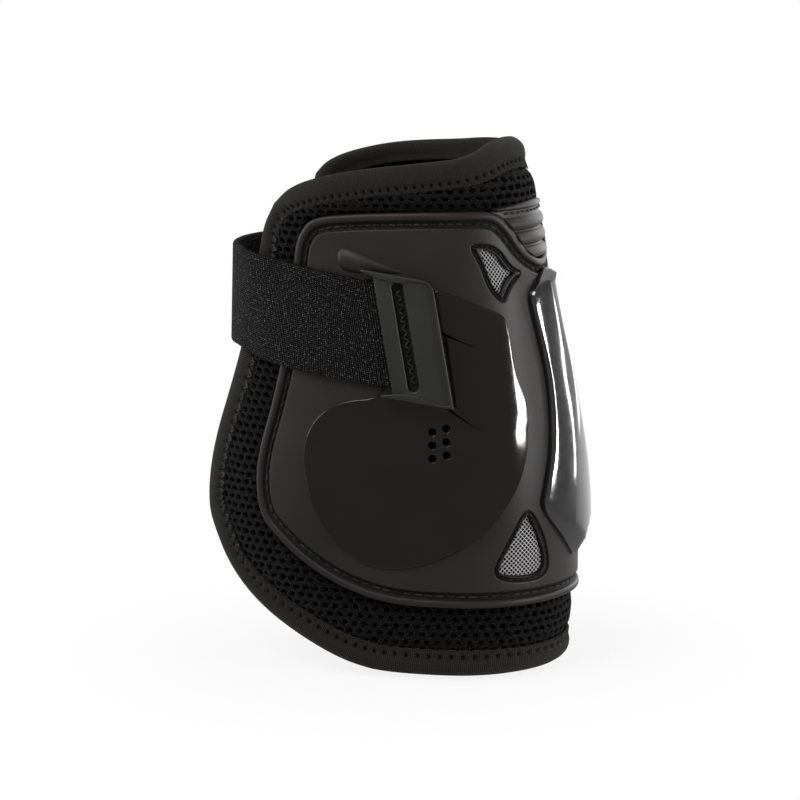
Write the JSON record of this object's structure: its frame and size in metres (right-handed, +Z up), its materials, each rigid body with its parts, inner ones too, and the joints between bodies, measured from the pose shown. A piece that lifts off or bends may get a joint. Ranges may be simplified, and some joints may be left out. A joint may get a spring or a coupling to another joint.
{
  "type": "hind fetlock boot",
  "caption": "Horse's hind fetlock boot: a padded wrap open at the front, with a moulded outer shell, a spine bumper, a flex panel, vents and an elastic strap that ends in a hook.",
  "frame": {"origin": "centre of the bounding box at the level of the hem that the boot stands on", "axes": "+Z up the leg, +X to the back of the leg where the bumper is, -Y the side that the hook closes on"},
  "size_m": [0.1134, 0.0799, 0.1565],
  "materials": {
    "neoprene": "soft knit-faced neoprene",
    "foam": "closed-cell foam",
    "spacer_mesh": "open spacer knit",
    "binding_tape": "ribbed stretch tape",
    "thread": "twisted polyester thread",
    "shell_tpu": "matt moulded TPU",
    "bumper_tpu": "glossy moulded TPU",
    "vent_screen": "metallic woven screen",
    "elastic": "ribbed woven elastic",
    "hook_plastic": "satin moulded plastic"
  },
  "bodies": {
    "boot": {"inner_lining": "neoprene", "foam_core": "foam", "mesh_cover": "spacer_mesh", "edge_binding": "binding_tape", "binding_stitching": "thread", "outer_shell": "shell_tpu", "flex_bellows": "shell_tpu", "back_bumper": "bumper_tpu", "shell_stitching": "thread", "vent_stitching": "thread", "vent_mesh_near_upper": "vent_screen", "vent_mesh_near_lower": "vent_screen", "vent_mesh_far_upper": "vent_screen", "vent_mesh_far_lower": "vent_screen", "strap_anchor": "elastic", "anchor_stitching": "thread"},
    "strap": {"elastic_strap": "elastic"},
    "hook": {"strap_tail": "elastic", "hook_plate": "hook_plastic", "hook_stitching": "thread"}
  },
  "joints": [
    {"name": "strap_swing", "type": "hinge", "parent": "boot", "child": "strap", "pos_m": [-0.04338, 0.02453, 0.1085], "axis": [-0.1265, 0.0763, -0.989], "range_deg": [0, 110]},
    {"name": "hook_flip", "type": "hinge", "parent": "strap", "child": "hook", "pos_m": [0.0038, -0.03596, 0.09909], "axis": [0.208, -0.0717, -0.9755], "range_deg": [0, 60]}
  ]
}
